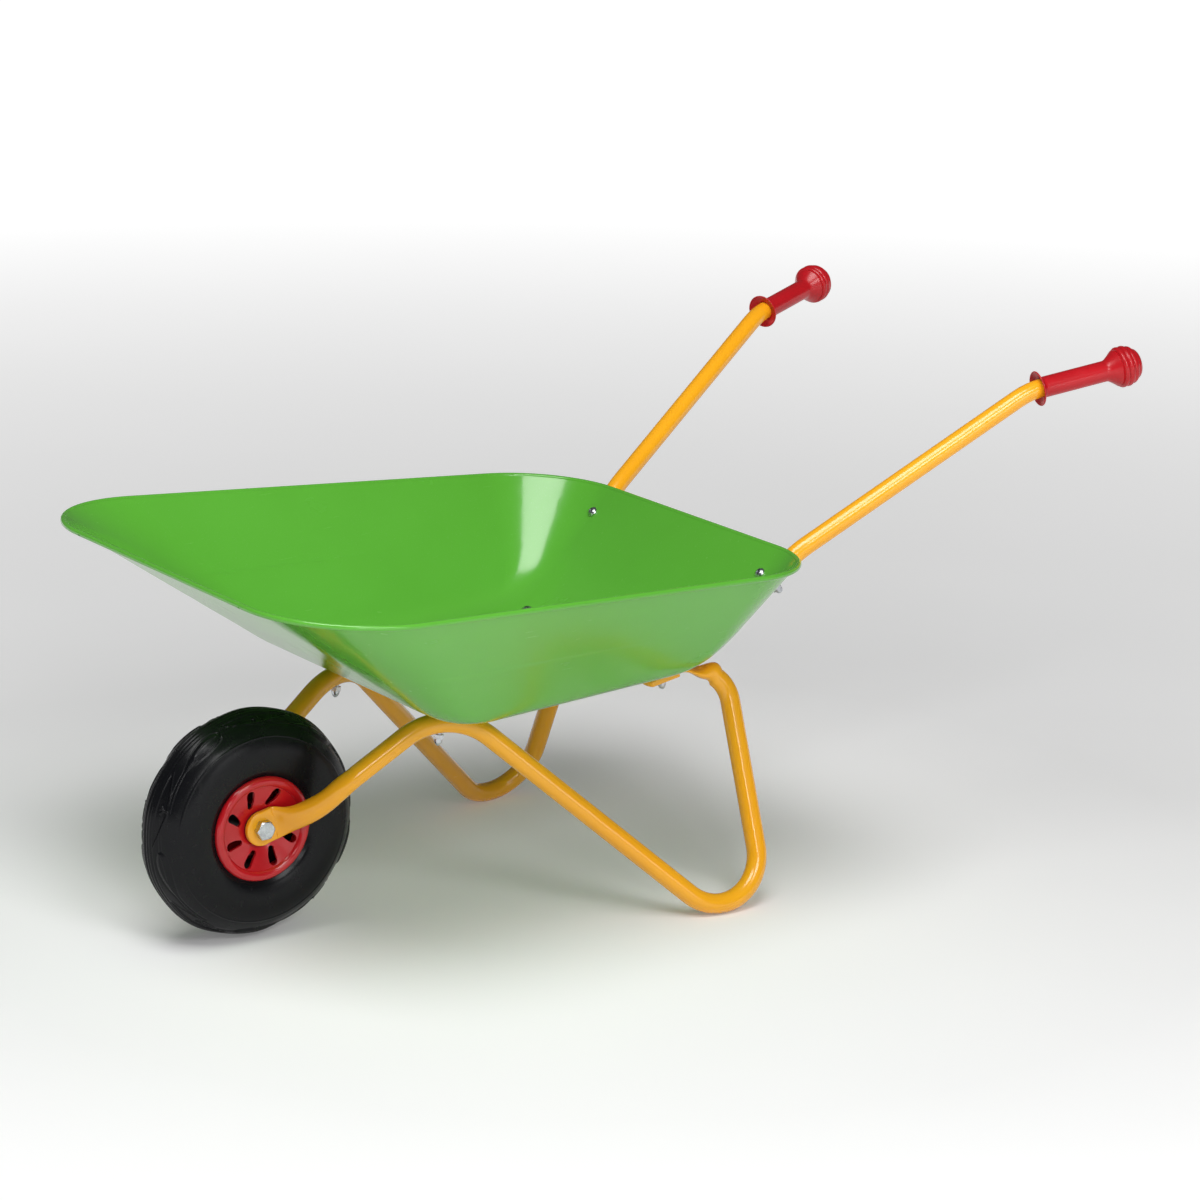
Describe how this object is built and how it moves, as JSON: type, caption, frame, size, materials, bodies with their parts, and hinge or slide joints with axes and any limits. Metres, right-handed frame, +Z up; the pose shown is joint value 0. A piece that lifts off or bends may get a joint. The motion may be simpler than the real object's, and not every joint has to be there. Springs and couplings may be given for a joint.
{
  "type": "wheelbarrow",
  "caption": "Child's steel wheelbarrow: a deep flared tray on bent tube legs and handles, with moulded hand grips and one front wheel that rolls in a forked axle.",
  "frame": {"origin": "on the ground, in the middle of the overall length and width", "axes": "+X forward to the wheel, +Y to the left, +Z up"},
  "size_m": [0.7559, 0.4074, 0.3959],
  "materials": {
    "tray_paint": "gloss green powder coat on sheet steel",
    "tube_paint": "gloss golden yellow powder coat on steel tube",
    "grip_plastic": "soft satin red vinyl",
    "rim_plastic": "gloss red moulded plastic",
    "bush_plastic": "black moulded plastic",
    "tyre_rubber": "satin black rubber",
    "zinc": "bright zinc plate"
  },
  "bodies": {
    "frame": {"tray": "tray_paint", "axle_bolt": "zinc", "axle_lock_nut": "zinc", "axle_spacer_tube": "zinc", "left_handle_tube": "tube_paint", "left_leg_tube": "tube_paint", "left_grip": "grip_plastic", "left_axle_washer": "zinc", "right_handle_tube": "tube_paint", "right_leg_tube": "tube_paint", "right_grip": "grip_plastic", "right_axle_washer": "zinc", "front_floor_screws": "zinc", "front_floor_cap_nuts": "zinc", "rear_floor_screws": "zinc", "rear_floor_cap_nuts": "zinc", "rear_wall_screws": "zinc", "rear_wall_cap_nuts": "zinc"},
    "wheel": {"tyre": "tyre_rubber", "left_rim_half": "rim_plastic", "right_rim_half": "rim_plastic", "left_hub_bush": "bush_plastic", "right_hub_bush": "bush_plastic"}
  },
  "joints": [
    {"name": "wheel_spin", "type": "hinge", "parent": "frame", "child": "wheel", "pos_m": [0.293, 0, 0.085], "axis": [0, 1, 0], "continuous": true}
  ]
}
